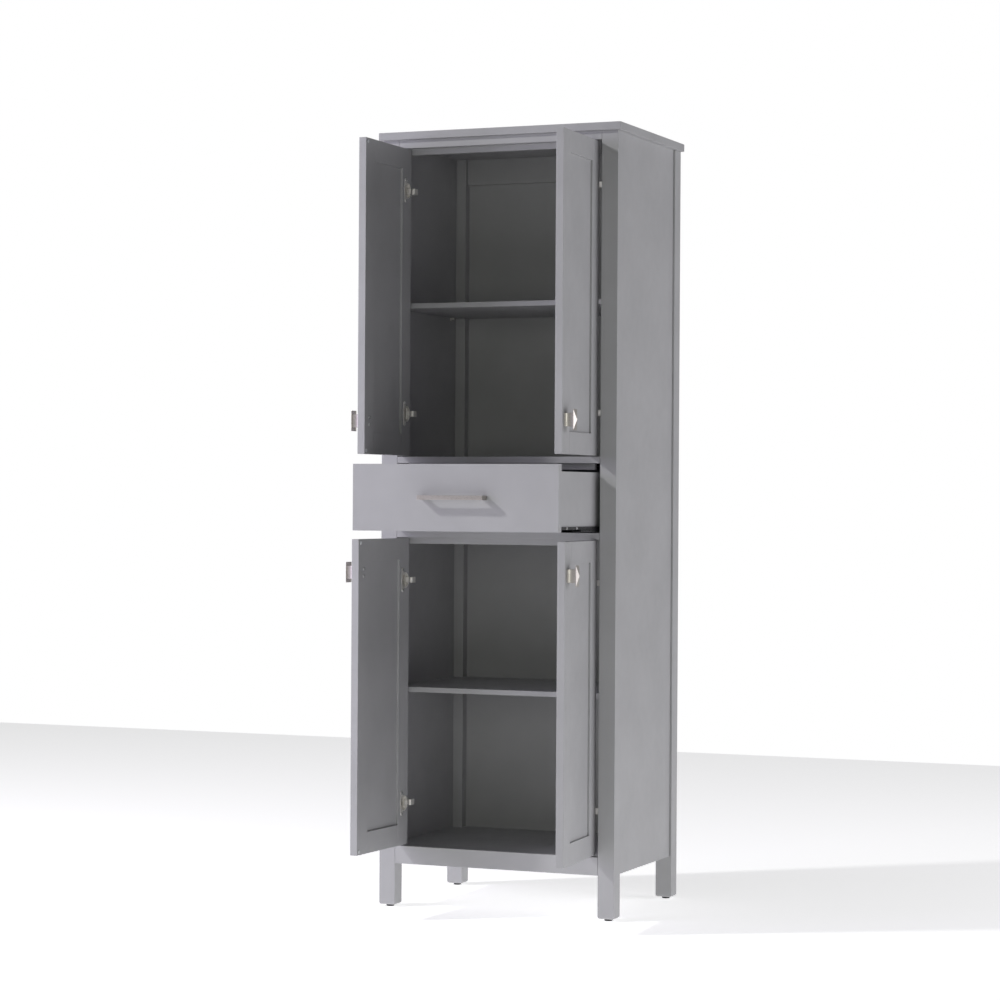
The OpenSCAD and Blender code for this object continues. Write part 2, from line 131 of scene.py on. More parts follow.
def sizeFaces(size, centre):
    bpy.ops.transform.resize(value=size, center_override=centre)


def easeEdges(piece, width, segments=2, angle=30):
    # A small round on every sharp edge
    pickOnly(piece)
    bevel = piece.modifiers.new("Ease", "BEVEL")
    bevel.width = width
    bevel.segments = segments
    bevel.limit_method = "ANGLE"
    bevel.angle_limit = math.radians(angle)
    bevel.use_clamp_overlap = True
    bevel.miter_outer = "MITER_ARC"
    bpy.ops.object.modifier_apply(modifier=bevel.name)
    return piece


def smooth(piece, angle=32):
    pickOnly(piece)
    bpy.ops.object.shade_smooth_by_angle(angle=math.radians(angle))
    return piece


def evenFaces(piece):
    # Large flat faces keep their own normals, so only the eased edges shade round
    pickOnly(piece)
    even = piece.modifiers.new("Even", "WEIGHTED_NORMAL")
    even.keep_sharp = True
    even.weight = 100
    bpy.ops.object.modifier_apply(modifier=even.name)
    return piece


def joinPieces(name, *pieces):
    pickOnly(*pieces)
    bpy.ops.object.join()
    whole = bpy.context.object
    whole.name = name
    return whole


def cutOut(piece, cutter, operation="DIFFERENCE"):
    pickOnly(piece)
    cut = piece.modifiers.new("Cut", "BOOLEAN")
    cut.operation = operation
    cut.solver = "EXACT"
    cut.object = cutter
    bpy.ops.object.modifier_apply(modifier=cut.name)
    bpy.data.objects.remove(cutter)
    return piece


def outward(piece):
    startEdit(piece, "VERT")
    bpy.ops.mesh.select_all(action="SELECT")
    bpy.ops.mesh.normals_make_consistent(inside=False)
    endEdit()
    return piece


def placedCopy(master, name, place):
    # A copy with its own mesh, put in place by a matrix
    piece = bpy.data.objects.new(name, master.data.copy())
    bpy.context.scene.collection.objects.link(piece)
    piece.data.transform(place)
    if place.determinant() < 0:
        piece.data.flip_normals()
    return piece


def dropMaster(*masters):
    for master in masters:
        bpy.data.objects.remove(master)


def finish(piece, body, slotName, material, *nodes):
    evenFaces(piece)
    piece.data.materials.clear()
    piece.data.materials.append(material)
    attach(piece, body)
    if nodes:
        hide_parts(*nodes)
    return piece


def newMaterial(name):
    material = bpy.data.materials.new(name)
    material.use_nodes = True
    nodes = material.node_tree.nodes
    shader = nodes["Principled BSDF"]
    where = nodes.new("ShaderNodeTexCoord")
    return material, nodes, material.node_tree.links, shader, where.outputs["Object"]


def noiseNode(nodes, links, place, scale, detail=2.0, stretch=None):
    if stretch:
        mapping = nodes.new("ShaderNodeMapping")
        mapping.inputs["Scale"].default_value = stretch
        links.new(place, mapping.inputs["Vector"])
        place = mapping.outputs["Vector"]
    noise = nodes.new("ShaderNodeTexNoise")
    noise.inputs["Scale"].default_value = scale
    noise.inputs["Detail"].default_value = detail
    links.new(place, noise.inputs["Vector"])
    return noise.outputs["Fac"]


def rangeNode(nodes, links, value, low, high, fromLow=0.3, fromHigh=0.7):
    spread = nodes.new("ShaderNodeMapRange")
    spread.inputs["From Min"].default_value = fromLow
    spread.inputs["From Max"].default_value = fromHigh
    spread.inputs["To Min"].default_value = low
    spread.inputs["To Max"].default_value = high
    links.new(value, spread.inputs["Value"])
    return spread.outputs["Result"]


def blendColours(nodes, links, value, first, second):
    ramp = nodes.new("ShaderNodeValToRGB")
    ramp.color_ramp.elements[0].color = (*first, 1)
    ramp.color_ramp.elements[0].position = 0.35
    ramp.color_ramp.elements[1].color = (*second, 1)
    ramp.color_ramp.elements[1].position = 0.65
    links.new(value, ramp.inputs["Fac"])
    return ramp.outputs["Color"]


def bumpNode(nodes, links, height, strength, distance, under=None):
    bump = nodes.new("ShaderNodeBump")
    bump.inputs["Strength"].default_value = strength
    bump.inputs["Distance"].default_value = distance
    links.new(height, bump.inputs["Height"])
    if under:
        links.new(under, bump.inputs["Normal"])
    return bump.outputs["Normal"]


greyPaint = {
    "colour": (0.408, 0.408, 0.415),
    "mottle": 0.035,  # how far the colour drifts, as a share
    "roughness": (0.36, 0.46),
    "peelScale": 420,  # sprayed surface, features per metre
    "peelDepth": 0.00006,
    "brushDepth": 0.00004,
}


def makePaint(name, look):
    material, nodes, links, shader, place = newMaterial(name)
    drift = noiseNode(nodes, links, place, 7, 3)
    low = tuple(c * (1 - look["mottle"]) for c in look["colour"])
    high = tuple(c * (1 + look["mottle"]) for c in look["colour"])
    links.new(blendColours(nodes, links, drift, low, high), shader.inputs["Base Color"])
    haze = noiseNode(nodes, links, place, 38, 4)
    links.new(rangeNode(nodes, links, haze, *look["roughness"]), shader.inputs["Roughness"])
    peel = noiseNode(nodes, links, place, look["peelScale"], 2)
    grain = noiseNode(nodes, links, place, 60, 3, (6.0, 6.0, 0.35))
    under = bumpNode(nodes, links, grain, 0.25, look["brushDepth"])
    links.new(bumpNode(nodes, links, peel, 0.35, look["peelDepth"], under), shader.inputs["Normal"])
    shader.inputs["Specular IOR Level"].default_value = 0.42
    return material


def makeMetal(name, colour, roughness, brush, stretch, depth=0.00002, metallic=1.0):
    material, nodes, links, shader, place = newMaterial(name)
    shader.inputs["Metallic"].default_value = metallic
    lines = noiseNode(nodes, links, place, brush, 4, stretch)
    low = tuple(c * 0.93 for c in colour)
    links.new(blendColours(nodes, links, lines, low, colour), shader.inputs["Base Color"])
    links.new(rangeNode(nodes, links, lines, *roughness), shader.inputs["Roughness"])
    links.new(bumpNode(nodes, links, lines, 0.4, depth), shader.inputs["Normal"])
    return material


def makePlastic(name, colour, roughness, grainScale, depth):
    material, nodes, links, shader, place = newMaterial(name)
    grain = noiseNode(nodes, links, place, grainScale, 3)
    low = tuple(c * 0.88 for c in colour)
    links.new(blendColours(nodes, links, grain, low, colour), shader.inputs["Base Color"])
    links.new(rangeNode(nodes, links, grain, *roughness), shader.inputs["Roughness"])
    links.new(bumpNode(nodes, links, grain, 0.4, depth), shader.inputs["Normal"])
    return material


paint = makePaint("GreyPaint", greyPaint)
nickel = makeMetal("SatinNickel", (0.50, 0.47, 0.44), (0.26, 0.38), 240, (1, 1, 14), 0.00001)
plated = makeMetal("NickelPlate", (0.92, 0.90, 0.86), (0.30, 0.42), 130, None, metallic=0.5)
zinc = makeMetal("ZincPlate", (0.64, 0.64, 0.65), (0.2, 0.34), 500, None)
runnerBlack = makePlastic("BlackEnamel", (0.018, 0.018, 0.020), (0.24, 0.36), 300, 0.00002)
glideBlack = makePlastic("GlidePlastic", (0.020, 0.020, 0.021), (0.5, 0.65), 700, 0.00004)
clearSoft = makePlastic("ClearBumper", (0.72, 0.74, 0.76), (0.12, 0.2), 200, 0.00001)
print("finishes made")


boards = {
    "topEase": 1.0 * mm,
    "postEase": 1.0 * mm,
    "boardEase": 0.6 * mm,
    "seamEase": 0.45 * mm,
    "segments": 2,
    "seamGap": 0.5 * mm,  # hairline between the rails and the posts
}
frontRails = ("top_rail", "upper_divider_rail", "lower_divider_rail", "bottom_rail")
cabinetBoards = {
    "top_panel": ("topBoard", "topEase"),
    "front_left_post": ("frontLeftPost", "postEase"),
    "front_right_post": ("frontRightPost", "postEase"),
    "back_left_post": ("backLeftPost", "postEase"),
    "back_right_post": ("backRightPost", "postEase"),
    "left_side_panel": ("leftSidePanel", "seamEase"),
    "right_side_panel": ("rightSidePanel", "seamEase"),
    "back_panel": ("backPanel", "seamEase"),
    "back_top_rail": ("backTopRail", "boardEase"),
    "back_bottom_rail": ("backBottomRail", "boardEase"),
    "top_rail": ("topRail", "seamEase"),
    "upper_divider_rail": ("upperDividerRail", "seamEase"),
    "lower_divider_rail": ("lowerDividerRail", "seamEase"),
    "bottom_rail": ("bottomRail", "seamEase"),
    "upper_divider": ("upperDivider", "seamEase"),
    "lower_divider": ("lowerDivider", "seamEase"),
    "floor_panel": ("floorBoard", "seamEase"),
    "top_stop": ("topStop", "boardEase"),
    "divider_stops": ("dividerStops", "boardEase"),
    "upper_shelf": ("upperShelf", "boardEase"),
    "lower_shelf": ("lowerShelf", "boardEase"),
}
drawerBoards = {
    "drawer_front": ("drawerFront", "topEase"),
    "drawer_sides": ("drawerSides", "boardEase"),
    "drawer_box_front": ("drawerBoxFront", "boardEase"),
    "drawer_back": ("drawerBack", "boardEase"),
    "drawer_bottom": ("drawerBottom", "seamEase"),
}


def easedNode(node, name, width, segments=2, gap=0.0):
    # A merged copy of a frame node, with its sharp edges eased
    piece = bpy.data.objects.new(name, frame["nodes"][node].data.copy())
    bpy.context.scene.collection.objects.link(piece)
    startEdit(piece, "VERT")
    bpy.ops.mesh.select_all(action="SELECT")
    bpy.ops.mesh.remove_doubles(threshold=0.000005)
    bpy.ops.mesh.dissolve_limited(angle_limit=math.radians(1.0))
    if gap:
        bpy.ops.mesh.select_mode(type="FACE")
        for way in (-1, 1):
            pickFaces(piece, lambda centre, normal: normal.x * way > 0.9)
            bpy.ops.transform.translate(value=(-way * gap, 0, 0))
    endEdit()
    return smooth(easeEdges(piece, width, segments))


for body, group in (("cabinet", cabinetBoards), ("drawer", drawerBoards)):
    for node, (name, ease) in group.items():
        gap = boards["seamGap"] if node in frontRails else 0.0
        finish(easedNode(node, name, boards[ease], boards["segments"], gap), body, "paint", paint,
               node)
print("boards eased and painted")


doorLook = {
    "gap": 2 * mm,
    "width": 252 * mm,
    "thick": 18 * mm,
    "stile": 50 * mm,
    "recess": 4.5 * mm,
    "tongue": 8 * mm,
    "fieldGap": 0.25 * mm,  # hairline between the field and the frame
    "fieldStep": 1.5 * mm,  # from the tongue up to the field's face
    "fieldEase": 0.2 * mm,
    "outerEase": 1.0 * mm,
    "jointEase": 0.35 * mm,
    "boreX": 23.5 * mm,
    "boreRadius": 17.6 * mm,
    "boreDeep": 11.8 * mm,
    "boreInset": 98.5 * mm,  # from each end of the door to the middle of a hinge
}
doorNames = {
    "upper_left": "upperLeft", "upper_right": "upperRight",
    "lower_left": "lowerLeft", "lower_right": "lowerRight",
}


def doorPlace(door):
    # From the closed left-hand door's own space to where this door stands
    joint = joints[door + "_hinge"]
    side = -1 if door.endswith("left") else 1
    pivot = Vector((innerX - abs(joint["pos_m"][0]), joint["pos_m"][1] - frontY, 0))
    opened = math.radians(-joint["range_deg"][0])
    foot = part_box(door + "_door_frame")[0].z
    mirror = Matrix.Diagonal((1 if side < 0 else -1, 1, 1, 1))
    return (Matrix.Translation((0, frontY, 0)) @ mirror
            @ Matrix.Translation((-innerX, 0, 0))
            @ Matrix.Translation(pivot + Vector((0, 0, foot)))
            @ Matrix.Rotation(-opened, 4, "Z") @ Matrix.Translation(-pivot))


def makeDoorFrame(name, height, look):
    left, right = look["gap"], look["gap"] + look["width"]
    stile, thick = look["stile"], look["thick"]
    parts = [
        addBlock("hingeStile", (left, 0, 0), (left + stile, thick, height)),
        addBlock("freeStile", (right - stile, 0, 0), (right, thick, height)),
        addBlock("lowRail", (left + stile, 0, 0), (right - stile, thick, stile)),
        addBlock("highRail", (left + stile, 0, height - stile), (right - stile, thick, height)),
    ]
    near = 1e-5

    def onOutline(middle, way):
        onSide = min(abs(middle.x - left), abs(middle.x - right)) < near
        onEnd = min(middle.z, height - middle.z) < near
        return onSide or (onEnd and abs(way.x) > 0.9)

    for part in parts:
        startEdit(part, "EDGE")
        pickEdges(part, lambda middle, way: not onOutline(middle, way))
        bpy.ops.mesh.bevel(offset=look["jointEase"], segments=1, affect="EDGES")
        pickEdges(part, onOutline)
        bpy.ops.mesh.bevel(offset=look["outerEase"], segments=2, affect="EDGES")
        endEdit()
    for z in (look["boreInset"], height - look["boreInset"]):
        cutOut(parts[0], addRound("bore", look["boreRadius"],
                                  (look["boreX"], thick - look["boreDeep"], z),
                                  (look["boreX"], thick + mm, z), 64))
    return smooth(joinPieces(name, *parts))


def makeDoorField(name, height, look):
    # A flat field on both faces, with a thinner tongue all round in the frame's groove
    left = look["gap"] + look["stile"] - look["tongue"]
    right = look["gap"] + look["width"] - look["stile"] + look["tongue"]
    low, high = look["stile"] - look["tongue"], height - look["stile"] + look["tongue"]
    step = look["fieldStep"]
    piece = addBlock(name, (left, look["recess"] + step, low),
                     (right, look["thick"] - look["recess"] - step, high))
    startEdit(piece)
    for way in (-1, 1):
        pickFaces(piece, lambda centre, normal: normal.y * way > 0.9)
        bpy.ops.mesh.inset(thickness=look["tongue"] + look["fieldGap"])
        pushFaces((0, way * step, 0))
    endEdit()
    return smooth(easeEdges(piece, look["fieldEase"], 1))


frameMasters = {}
for door, title in doorNames.items():
    low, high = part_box(door + "_door_frame")
    height = round(high.z - low.z, 5)
    if height not in frameMasters:
        frameMasters[height] = (makeDoorFrame("frameMaster", height, doorLook),
                                makeDoorField("fieldMaster", height, doorLook))
    frameMaster, fieldMaster = frameMasters[height]
    place = doorPlace(door)
    finish(placedCopy(frameMaster, title + "DoorFrame", place), door + "_door", "paint", paint,
           door + "_door_frame")
    finish(placedCopy(fieldMaster, title + "DoorField", place), door + "_door", "paint", paint,
           door + "_door_panel")
for masters in frameMasters.values():
    dropMaster(*masters)
print("doors framed")


screwLook = {  # radius and height of the head, length and radius of the shank
    "knob": (4 * mm, 2 * mm, 26 * mm, 2 * mm),
    "ear": (3.5 * mm, 1 * mm, 13 * mm, 1.8 * mm),
}


def makeScrew(name, radius, height, length, shank):
    # Pan head at the origin with its face along +Y, a cross recess and a shank behind
    head = addRound(name, radius, (0, 0, 0), (0, height, 0), 32)
    startEdit(head)
    pickFaces(head, lambda centre, normal: normal.y > 0.9)
    bpy.ops.mesh.bevel(offset=height * 0.45, segments=3, affect="EDGES")
    pickFaces(head, lambda centre, normal: normal.y > 0.99 and centre.y > height * 0.9)
    bpy.ops.mesh.inset(thickness=radius * 0.22)
    endEdit()
    cross = [addBlock("crossA", (-radius * 0.55, height * 0.35, -radius * 0.13),
                      (radius * 0.55, height * 1.5, radius * 0.13)),
             addBlock("crossB", (-radius * 0.13, height * 0.35, -radius * 0.55),
                      (radius * 0.13, height * 1.5, radius * 0.55))]
    for cutter in cross:
        cutOut(head, cutter)
    body = addRound("shank", shank, (0, -length, 0), (0, height * 0.1, 0), 20)
    startEdit(body)
    pickFaces(body, lambda centre, normal: normal.y < -0.9)
    sizeFaces((0.3, 1, 0.3), (0, -length, 0))
    endEdit()
    return smooth(joinPieces(name, head, body), 40)


knobLook = {
    "stemHigh": 30 * mm,
    "stemRings": ((0, 12.5), (1.2, 12.1), (3, 10.6), (6.5, 10.0), (10.5, 9.8), (15, 10.0),
                  (18.5, 10.4), (20.9, 10.6)),
    "headWide": 26 * mm,
    "headHigh": 47 * mm,
    "headStart": 20.5 * mm,
    "rim": 1.2 * mm,
    "peak": 4.8 * mm,
    "hollow": 0.8 * mm,
    "hollowRim": 2 * mm,
    "edge": 0.5 * mm,
    "headEdge": 0.25 * mm,
    "faceEdge": 0.6 * mm,
    "peakShare": 0.03,  # how much of the face is left flat at the peak
    "inset": 76 * mm,  # from the door's end that meets the drawer
    "screwZ": 8 * mm,
}


def makeKnob(name, look):
    # Stem: a block grown outwards ring by ring, waisted at its sides
    half = look["stemHigh"] / 2
    rings = [(out * mm, wide * mm) for out, wide in look["stemRings"]]
    stem = addBlock("stem", (-rings[0][1], -rings[1][0], -half), (rings[0][1], 0, half))
    startEdit(stem)
    pickFaces(stem, lambda centre, normal: normal.y < -0.9)
    for (out, wide), (nextOut, nextWide) in zip(rings[1:], rings[2:]):
        pushFaces((0, out - nextOut, 0))
        sizeFaces((nextWide / wide, 1, 1), (0, -nextOut, 0))
    endEdit()
    smooth(easeEdges(stem, look["edge"], 2, 50), 50)
    # Head: a plate with a low hipped face and a rimmed hollow behind
    x, z, start = look["headWide"] / 2, look["headHigh"] / 2, look["headStart"]
    head = addBlock("head", (-x, -start - look["rim"], -z), (x, -start, z))
    startEdit(head)
    pickFaces(head, lambda centre, normal: normal.y > 0.9)
    bpy.ops.mesh.inset(thickness=look["hollowRim"])
    pushFaces((0, -look["hollow"], 0))
    pickFaces(head, lambda centre, normal: normal.y < -0.9)
    bpy.ops.mesh.inset(thickness=look["faceEdge"])
    pushFaces((0, -look["peak"], 0))
    sizeFaces((look["peakShare"], 1, look["peakShare"]), (0, 0, 0))
    endEdit()
    smooth(easeEdges(head, look["headEdge"], 2, 12), 20)
    return joinPieces(name, stem, head)


knobX = doorLook["gap"] + doorLook["width"] - doorLook["stile"] / 2
knobMaster = makeKnob("knobMaster", knobLook)
knobScrew = makeScrew("knobScrewMaster", *screwLook["knob"])
earScrew = makeScrew("earScrewMaster", *screwLook["ear"])


hingeLook = {
    "cupX": 23.5 * mm, "cupR": 17.5 * mm, "hollowR": 16 * mm, "cupDeep": 11.7 * mm,
    "floor": 0.9 * mm, "flange": 1.2 * mm, "flangeR": 18.5 * mm,
    "earX": 35 * mm, "earWide": 12 * mm, "earHigh": 57 * mm, "earCorner": 5.5 * mm,
    "earScrewZ": 24 * mm,
    "pinX": 12 * mm, "pinY": 13 * mm, "pinR": 1.5 * mm,
    "linkX": (9.5 * mm, 20 * mm), "linkY": (10.9 * mm, 19.8 * mm),
    "linkHigh": 13 * mm, "linkThick": 1.5 * mm,
}


def makeCup(name, look):
    face = doorLook["thick"]
    top = face + look["flange"]
    x = look["cupX"]
    plate = addBlock("plate", (look["earX"] - look["earWide"] / 2, face, -look["earHigh"] / 2),
                     (look["earX"] + look["earWide"] / 2, top, look["earHigh"] / 2))
    startEdit(plate, "EDGE")
    pickEdges(plate, lambda middle, way: abs(way.y) > 0.9)
    bpy.ops.mesh.bevel(offset=look["earCorner"], segments=6, affect="EDGES")
    endEdit()
    cutOut(plate, addRound("disc", look["flangeR"], (x, face, 0), (x, top, 0), 64), "UNION")
    cutOut(plate, addRound("mouth", look["hollowR"], (x, face - mm, 0), (x, top + mm, 0), 64))
    easeEdges(plate, 0.25 * mm, 2, 40)
    cup = addRound("cup", look["cupR"], (x, face - look["cupDeep"], 0), (x, face + 0.2 * mm, 0), 64)
    startEdit(cup)
    pickFaces(cup, lambda centre, normal: normal.y > 0.9)
    bpy.ops.mesh.inset(thickness=look["cupR"] - look["hollowR"])
    pushFaces((0, -look["cupDeep"] + look["floor"] - 0.2 * mm, 0))
    endEdit()
    easeEdges(cup, 0.5 * mm, 2, 40)
    # Pin across the cup, with a link folded from one sheet on it
    chord = math.sqrt(look["hollowR"] ** 2 - (x - look["pinX"]) ** 2)
    pin = addRound("pin", look["pinR"], (look["pinX"], look["pinY"], -chord - mm),
                   (look["pinX"], look["pinY"], chord + mm), 20)
    (x0, x1), (y0, y1) = look["linkX"], look["linkY"]
    half, thick = look["linkHigh"] / 2, look["linkThick"]
    sheets = [
        addBlock("sheet", (x0, y0, -half), (x1, y1, thick - half)),
        addBlock("sheet", (x0, y0, half - thick), (x1, y1, half)),
        addBlock("sheet", (x0, y1 - thick, -half), (x1, y1, half)),
    ]
    links = [pin] + [easeEdges(sheet, 0.3 * mm, 2, 50) for sheet in sheets]
    return smooth(joinPieces(name, plate, cup, *links), 38)


cupMaster = makeCup("cupMaster", hingeLook)
bumperLook = {"radius": 4 * mm, "high": 1.7 * mm, "fromEdge": 9 * mm, "fromTop": 8.5 * mm}
bumperMaster = addRound("bumperMaster", bumperLook["radius"], (0, 0, 0), (0, bumperLook["high"], 0), 32)
easeEdges(bumperMaster, 0.8 * mm, 4, 40)
smooth(bumperMaster, 60)

for door, title in doorNames.items():
    low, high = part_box(door + "_door_frame")
    height = high.z - low.z
    place = doorPlace(door)
    body = door + "_door"
    knobZ = knobLook["inset"] if door.startswith("upper") else height - knobLook["inset"]
    hingeZs = (doorLook["boreInset"], height - doorLook["boreInset"])
    at = lambda x, y, z: place @ Matrix.Translation((x, y, z))
    finish(placedCopy(knobMaster, title + "Knob", at(knobX, 0, knobZ)), body, "nickel", nickel,
           door + "_knob")
    cups = [placedCopy(cupMaster, "cup", at(0, 0, z)) for z in hingeZs]
    finish(joinPieces(title + "HingeCups", *cups), body, "hinge_steel", plated, door + "_hinge_cups")
    screws = [placedCopy(knobScrew, "screw", at(knobX, doorLook["thick"],
                                                knobZ + way * knobLook["screwZ"]))
              for way in (-1, 1)]
    screws += [placedCopy(earScrew, "screw", at(hingeLook["earX"], doorLook["thick"] + hingeLook["flange"],
                                                z + way * hingeLook["earScrewZ"]))
               for z in hingeZs for way in (-1, 1)]
    finish(joinPieces(title + "DoorScrews", *screws), body, "screw_steel", zinc, door + "_screws")
    bumpers = [placedCopy(bumperMaster, "bumper", at(
        doorLook["gap"] + doorLook["width"] - bumperLook["fromEdge"], doorLook["thick"],
        height - bumperLook["fromTop"] if end else bumperLook["fromTop"])) for end in (0, 1)]
    bumper = joinPieces(title + "Bumpers", *bumpers)
    bumper.data.materials.clear()
    bumper.data.materials.append(clearSoft)
    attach(bumper, body)
print("knobs, hinge cups and screws fitted")

# Arms and plates stay with the cabinet
finish(easedNode("hinge_arms", "hingeArms", 0.35 * mm), "cabinet", "hinge_steel", plated,
       "hinge_arms")
hingeHeights = []
for door in ("upper_left", "lower_left"):
    low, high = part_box(door + "_door_frame")
    hingeHeights += [low.z + doorLook["boreInset"], high.z - doorLook["boreInset"]]
sideMatrix = {
    -1: Matrix.Translation((-innerX, frontY, 0)),
    1: Matrix.Diagonal((-1, 1, 1, 1)) @ Matrix.Translation((-innerX, frontY, 0)),
}


plateLook = {
    "thick": 2.0 * mm, "near": 22 * mm, "far": 39 * mm, "high": 50 * mm,
    "corner": 5 * mm, "edge": 0.3 * mm,
    "screwY": 30.5 * mm, "screwZ": 19 * mm,
    "armScrewX": 9 * mm, "armScrewY": 45 * mm,
}


def makePlate(name, look):
    # Mounting plate against the post, with rounded corners
    half = look["high"] / 2
    plate = addBlock(name, (0, look["near"], -half), (look["thick"], look["far"], half))
    startEdit(plate, "EDGE")
    pickEdges(plate, lambda middle, way: abs(way.x) > 0.9)
    bpy.ops.mesh.bevel(offset=look["corner"], segments=5, affect="EDGES")
    endEdit()
    return smooth(easeEdges(plate, look["edge"], 2, 50), 40)


plateMaster = makePlate("plateMaster", plateLook)
sideways = Matrix.Rotation(math.radians(-90), 4, "Z")  # turns +Y to +X
plates, plateScrews, armScrews = [], [], []
for side, base in sideMatrix.items():
    for z in hingeHeights:
        plates.append(placedCopy(plateMaster, "plate", base @ Matrix.Translation((0, 0, z))))
        for way in (-1, 1):
            plateScrews.append(placedCopy(earScrew, "screw", base @ Matrix.Translation(
                (plateLook["thick"], plateLook["screwY"],
                 z + way * plateLook["screwZ"])) @ sideways))
        armScrews.append(placedCopy(earScrew, "screw", base @ Matrix.Translation(
            (plateLook["armScrewX"], plateLook["armScrewY"], z)) @ sideways))
finish(joinPieces("hingePlates", *plates), "cabinet", "hinge_steel", plated, "hinge_plates")
finish(joinPieces("hingePlateScrews", *plateScrews, *armScrews), "cabinet", "screw_steel", zinc,
       "hinge_plate_screws")
dropMaster(knobMaster, cupMaster, bumperMaster, plateMaster)
print("hinge arms and plates fitted")


pullLook = {"bar": 7 * mm, "leg": 10 * mm, "edge": 0.6 * mm}


def makePull(name, look):
    # A flat bar whose ends turn back to the drawer front
    low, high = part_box("drawer_pull")
    bar = addBlock(name, (low.x, low.y, low.z), (high.x, low.y + look["bar"], high.z))
    startEdit(bar)
    for cut in (low.x + look["leg"], high.x - look["leg"]):
        bpy.ops.mesh.select_all(action="SELECT")
        bpy.ops.mesh.bisect(plane_co=(cut, 0, 0), plane_no=(1, 0, 0))
    pickFaces(bar, lambda centre, normal: normal.y > 0.9
              and min(centre.x - low.x, high.x - centre.x) < look["leg"])
    pushFaces((0, high.y - low.y - look["bar"], 0))
    endEdit()
    return smooth(easeEdges(bar, look["edge"], 3), 30)


finish(makePull("drawerPull", pullLook), "drawer", "nickel", nickel, "drawer_pull")
pullLow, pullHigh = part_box("drawer_pull")
boxLow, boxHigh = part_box("drawer_box_front")
screws = [placedCopy(knobScrew, "screw", Matrix.Translation((x, boxHigh.y, (pullLow.z + pullHigh.z) / 2)))
          for x in (pullLow.x + pullLook["leg"] / 2, pullHigh.x - pullLook["leg"] / 2)]
finish(joinPieces("pullScrews", *screws), "drawer", "screw_steel", zinc, "pull_screws")


runnerLook = {
    "edge": 0.4 * mm,
    "screwInset": 3.5 * mm,
    "middleScrew": 133.5 * mm,  # from the front of the screws to the middle one
    "screwLift": 1.6 * mm,
}
for node, name, body in (("runner_cabinet_members", "runnerCabinetMembers", "cabinet"),
                         ("runner_middle_members", "runnerMiddleMembers", "runner_middles"),
                         ("runner_drawer_members", "runnerDrawerMembers", "drawer")):
    finish(easedNode(node, name, runnerLook["edge"]), body, "runner_black", runnerBlack, node)

rollerLook = {
    "radius": 3.1 * mm, "wide": 1.5 * mm, "edge": 0.15 * mm,
    "rim": 1.2 * mm, "dish": 0.4 * mm, "rivetRim": 0.6 * mm, "rivetHigh": 0.35 * mm,
    "fromEnd": 2.5 * mm, "fromSide": 1.6 * mm,
}


def makeRoller(name, look):
    # A small steel roller with a domed rivet
    roller = addRound(name, look["radius"], (0, 0, 0), (look["wide"], 0, 0), 32)
    startEdit(roller)
    pickFaces(roller, lambda centre, normal: normal.x > 0.9)
    bpy.ops.mesh.inset(thickness=look["rim"])
    pushFaces((-look["dish"], 0, 0))
    bpy.ops.mesh.inset(thickness=look["rivetRim"])
    pushFaces((look["rivetHigh"], 0, 0))
    endEdit()
    return smooth(easeEdges(roller, look["edge"], 2, 40), 40)


rollerMaster = makeRoller("rollerMaster", rollerLook)
catchLow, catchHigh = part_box("runner_catches")
rollers = []
for side in (-1, 1):
    flip = Matrix.Diagonal((side, 1, 1, 1))
    for y in (catchLow.y + rollerLook["fromEnd"], catchHigh.y - rollerLook["fromEnd"]):
        rollers.append(placedCopy(rollerMaster, "roller", flip @ Matrix.Translation(
            (catchHigh.x - rollerLook["fromSide"], y, (catchLow.z + catchHigh.z) / 2))))
finish(joinPieces("runnerRollers", *rollers), "drawer", "screw_steel", zinc, "runner_catches")

upward = Matrix.Rotation(math.radians(90), 4, "X")  # turns +Y to +Z
runnerLow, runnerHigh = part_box("runner_screws")
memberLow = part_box("runner_cabinet_members")[0]
inset = runnerLook["screwInset"]
screwX, screwZ = runnerHigh.x - inset, memberLow.z + runnerLook["screwLift"]
screws = [placedCopy(earScrew, "screw", Matrix.Translation((side * screwX, y, screwZ)) @ upward)
          for side in (-1, 1)
          for y in (runnerLow.y + inset, runnerLow.y + runnerLook["middleScrew"],
                    runnerHigh.y - inset)]
finish(joinPieces("runnerScrews", *screws), "cabinet", "screw_steel", zinc, "runner_screws")
dropMaster(knobScrew, earScrew, rollerMaster)
print("pull and runners fitted")


finish(easedNode("shelf_pins", "shelfPins", 0.3 * mm), "cabinet", "pin_steel", plated, "shelf_pins")


glideLook = {
    "radius": 9.5 * mm, "high": 5 * mm, "lowRound": 1.4 * mm,
    "shoulder": 7 * mm, "stem": 15 * mm,
}


def makeGlide(name, look):
    # A turned plastic foot with a rounded lower edge and a stem up into the leg
    glide = addRound(name, look["radius"], (0, 0, 0), (0, 0, look["high"]), 40)
    startEdit(glide)
    pickFaces(glide, lambda centre, normal: normal.z < -0.9)
    bpy.ops.mesh.bevel(offset=look["lowRound"], segments=4, affect="EDGES")
    pickFaces(glide, lambda centre, normal: normal.z > 0.9)
    bpy.ops.mesh.inset(thickness=look["shoulder"])
    pushFaces((0, 0, look["stem"]))
    endEdit()
    return smooth(glide, 35)


glideMaster = makeGlide("glideMaster", glideLook)
glides = []
for node in ("front_left_post", "front_right_post", "back_left_post", "back_right_post"):
    low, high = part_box(node)
    glides.append(placedCopy(glideMaster, "glide",
                             Matrix.Translation(((low.x + high.x) / 2, (low.y + high.y) / 2, 0))))
finish(joinPieces("footGlides", *glides), "cabinet", "glide_plastic", glideBlack, "foot_glides")
dropMaster(glideMaster)
print("pins and glides fitted")


